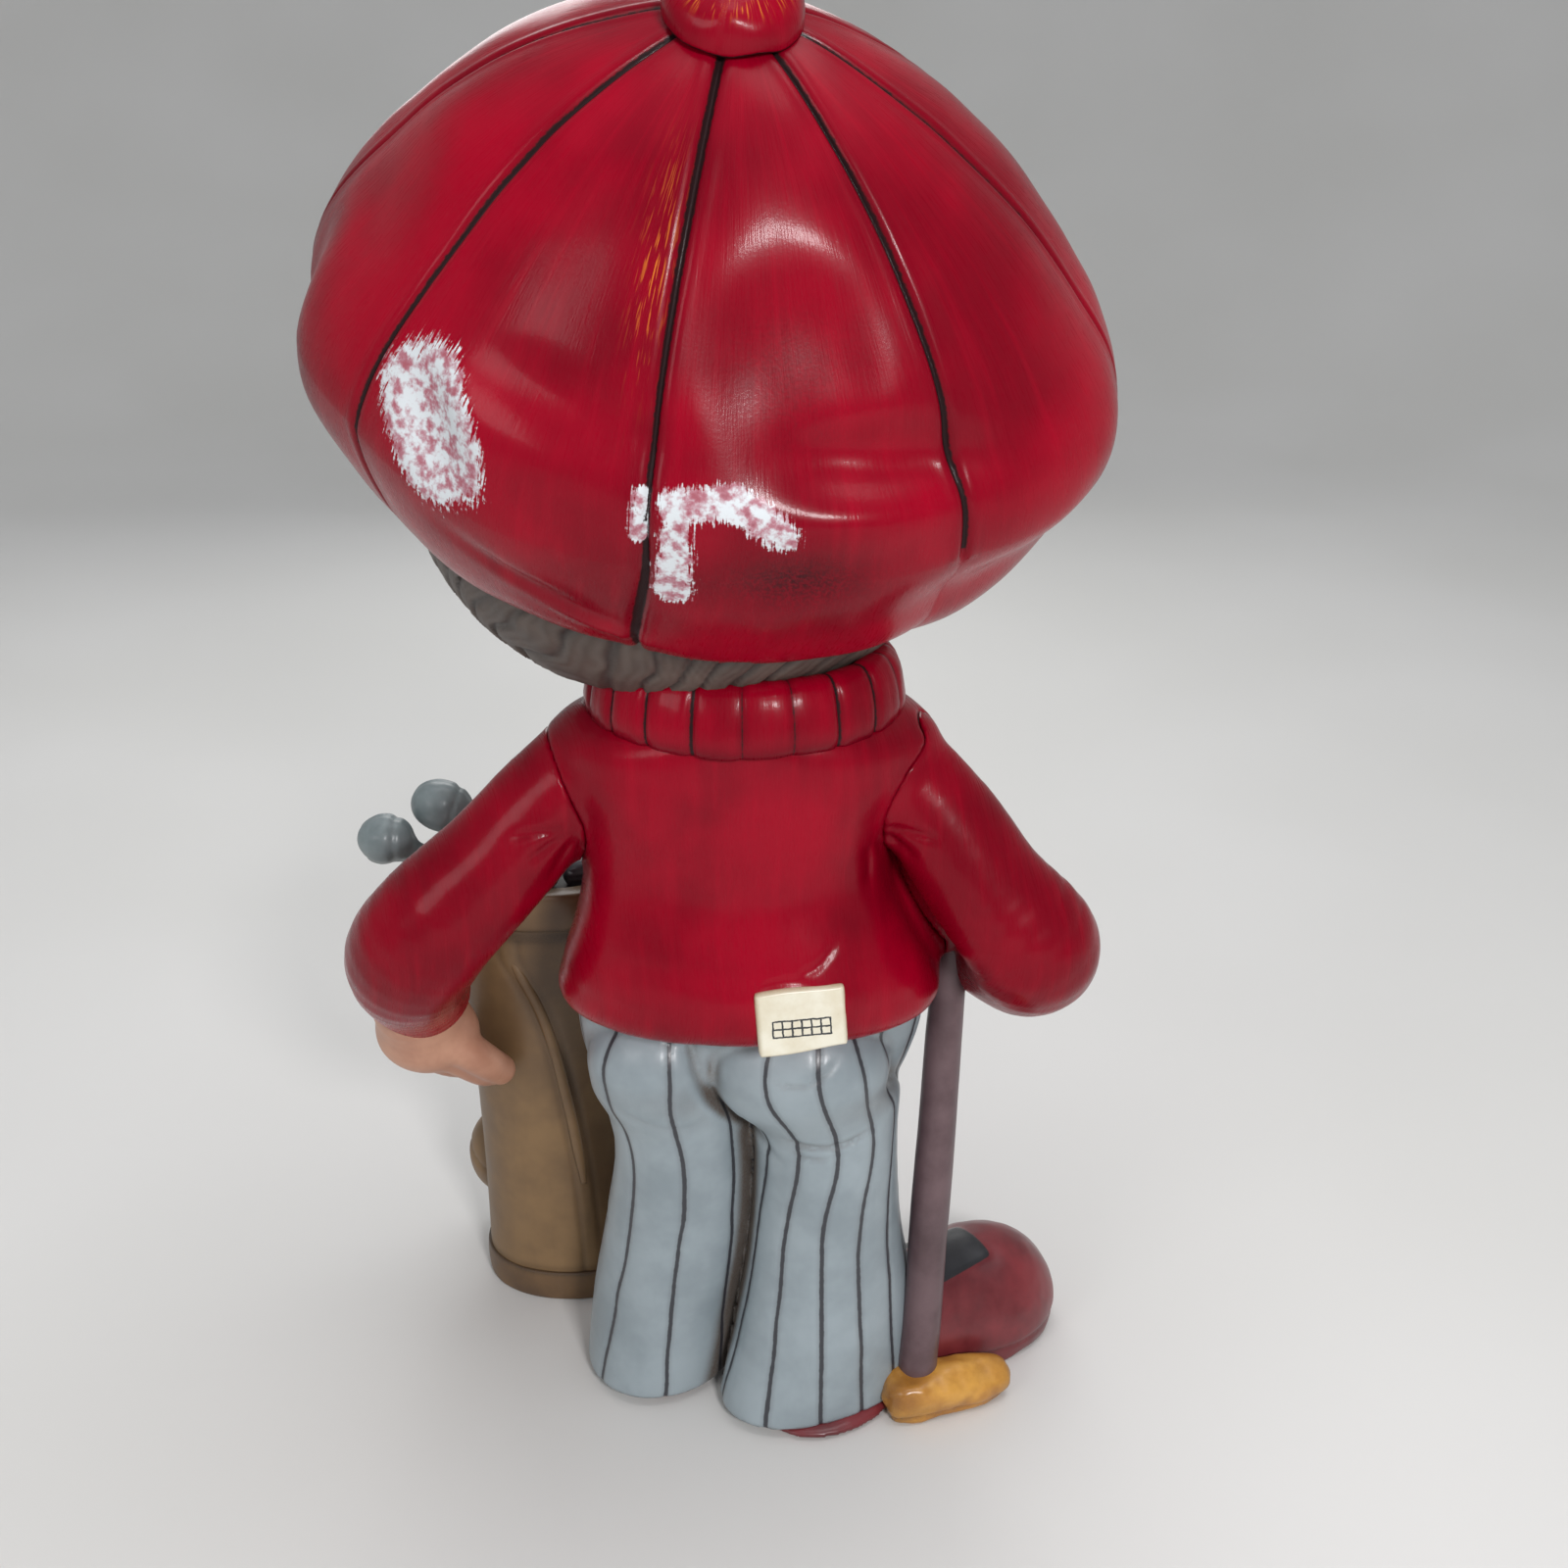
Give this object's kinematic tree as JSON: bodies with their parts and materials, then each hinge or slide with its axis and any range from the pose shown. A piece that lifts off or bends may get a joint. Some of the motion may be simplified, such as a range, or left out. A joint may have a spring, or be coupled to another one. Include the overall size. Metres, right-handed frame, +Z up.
{
  "type": "garden gnome",
  "caption": "Standing ceramic golfer figurine in a floppy gored cap and rolled-neck sweater, a golf bag at one side and a club at the other.",
  "frame": {"origin": "on the surface it stands on, under the middle of its outline", "axes": "+Z up, the figure faces -Y, its left hand and the golf bag are on +X"},
  "size_m": [0.1926, 0.1618, 0.3519],
  "materials": {
    "red_glaze": "brushed crimson under a glossy glaze",
    "hair_paint": "satin dark brown-grey with darker grooves",
    "skin_paint": "satin flesh colour",
    "trouser_paint": "satin pale blue-grey with dark pin stripes",
    "shoe_paint": "maroon, semi-gloss",
    "bag_paint": "satin tan brown",
    "bag_trim_paint": "satin dark brown",
    "bag_inside_paint": "matt black",
    "cover_paint": "satin grey-green",
    "iron_paint": "satin charcoal",
    "shaft_paint": "satin mauve brown",
    "club_head_paint": "satin ochre",
    "card_paint": "glossy cream with a drawn grid"
  },
  "bodies": {
    "root": {"sweater": "red_glaze", "left_sleeve": "red_glaze", "right_sleeve": "red_glaze", "rolled_collar": "red_glaze", "cap_crown": "red_glaze", "cap_button": "red_glaze", "cap_peak": "red_glaze", "head": "skin_paint", "left_hand": "skin_paint", "right_hand": "skin_paint", "hair": "hair_paint", "trousers": "trouser_paint", "right_shoe": "shoe_paint", "left_shoe": "shoe_paint", "golf_bag": "bag_paint", "bag_cuff": "bag_paint", "bag_ball_pocket": "bag_paint", "bag_seam_rib": "bag_paint", "bag_base_band": "bag_trim_paint", "bag_mouth": "bag_inside_paint", "driver_cover": "cover_paint", "wood_cover": "cover_paint", "hybrid_cover": "cover_paint", "long_iron": "iron_paint", "short_iron": "iron_paint", "club_shaft": "shaft_paint", "club_head": "club_head_paint", "scorecard": "card_paint"}
  },
  "joints": []
}
